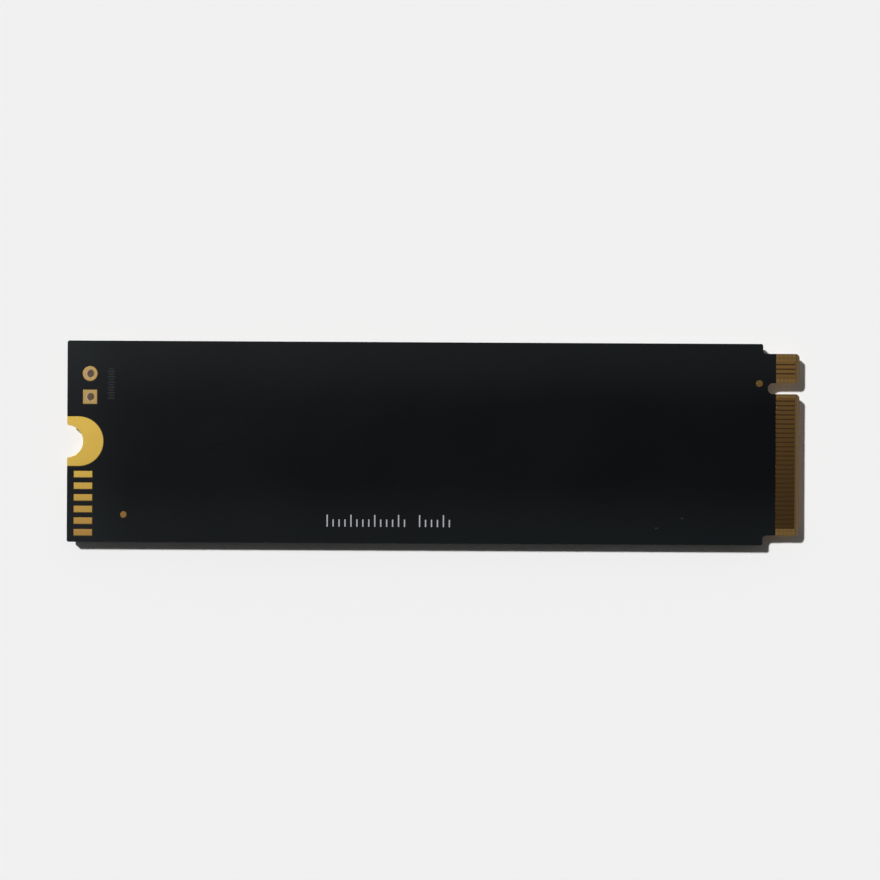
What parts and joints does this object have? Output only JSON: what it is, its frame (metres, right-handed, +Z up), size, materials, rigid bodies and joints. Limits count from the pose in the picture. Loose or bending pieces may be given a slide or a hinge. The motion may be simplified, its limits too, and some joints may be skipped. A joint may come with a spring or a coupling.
{
  "type": "gumstick solid state drive",
  "caption": "Plug-in solid state drive card: a long thin circuit board with a keyed gold edge contact, a half-round screw notch and its chips on one side.",
  "frame": {"origin": "under the middle of the card, on the surface that its flash packages rest on", "axes": "+X along the card towards the contact edge, +Y across it towards the key slot, +Z up out of the bare side"},
  "size_m": [0.08, 0.022, 0.002],
  "materials": {
    "laminate": "sawn glass and resin laminate",
    "solder_mask": "satin black lacquer",
    "gold": "gold plated",
    "print": "printed ink",
    "solder": "reflowed solder",
    "tin": "matt tin plated",
    "substrate": "sawn",
    "mould_compound": "fine moulded",
    "inductor_core": "pressed metal powder",
    "crystal_ceramic": "fired ceramic",
    "crystal_lid": "nickel plated",
    "capacitor_ceramic": "fired ceramic",
    "resistor_ceramic": "fired ceramic",
    "ferrite": "fired ferrite"
  },
  "bodies": {
    "root": {"board_laminate": "laminate", "solder_mask_back": "solder_mask", "solder_mask_front": "solder_mask", "edge_contacts_back": "gold", "edge_contacts_front": "gold", "screw_notch_plating": "gold", "header_hole_round": "gold", "header_hole_square": "gold", "test_pads": "gold", "alignment_dots": "gold", "printed_scale": "print", "controller_balls": "solder", "controller_substrate": "substrate", "controller_body": "mould_compound", "flash_1_balls": "solder", "flash_1_substrate": "substrate", "flash_1_body": "mould_compound", "flash_2_balls": "solder", "flash_2_substrate": "substrate", "flash_2_body": "mould_compound", "flash_3_balls": "solder", "flash_3_substrate": "substrate", "flash_3_body": "mould_compound", "flash_4_balls": "solder", "flash_4_substrate": "substrate", "flash_4_body": "mould_compound", "power_chip_body": "mould_compound", "power_chip_leads": "tin", "power_chip_slug": "tin", "load_switch_body": "mould_compound", "load_switch_leads": "tin", "inductor_1_body": "inductor_core", "inductor_1_terminals": "tin", "inductor_2_body": "inductor_core", "inductor_2_terminals": "tin", "inductor_3_body": "inductor_core", "inductor_3_terminals": "tin", "crystal_case": "crystal_ceramic", "crystal_lid": "crystal_lid", "small_capacitor_bodies": "capacitor_ceramic", "small_capacitor_caps": "tin", "large_capacitor_bodies": "capacitor_ceramic", "large_capacitor_caps": "tin", "resistor_bodies": "resistor_ceramic", "resistor_caps": "tin", "ferrite_bead_bodies": "ferrite", "ferrite_bead_caps": "tin", "solder_fillets": "solder"}
  },
  "joints": []
}
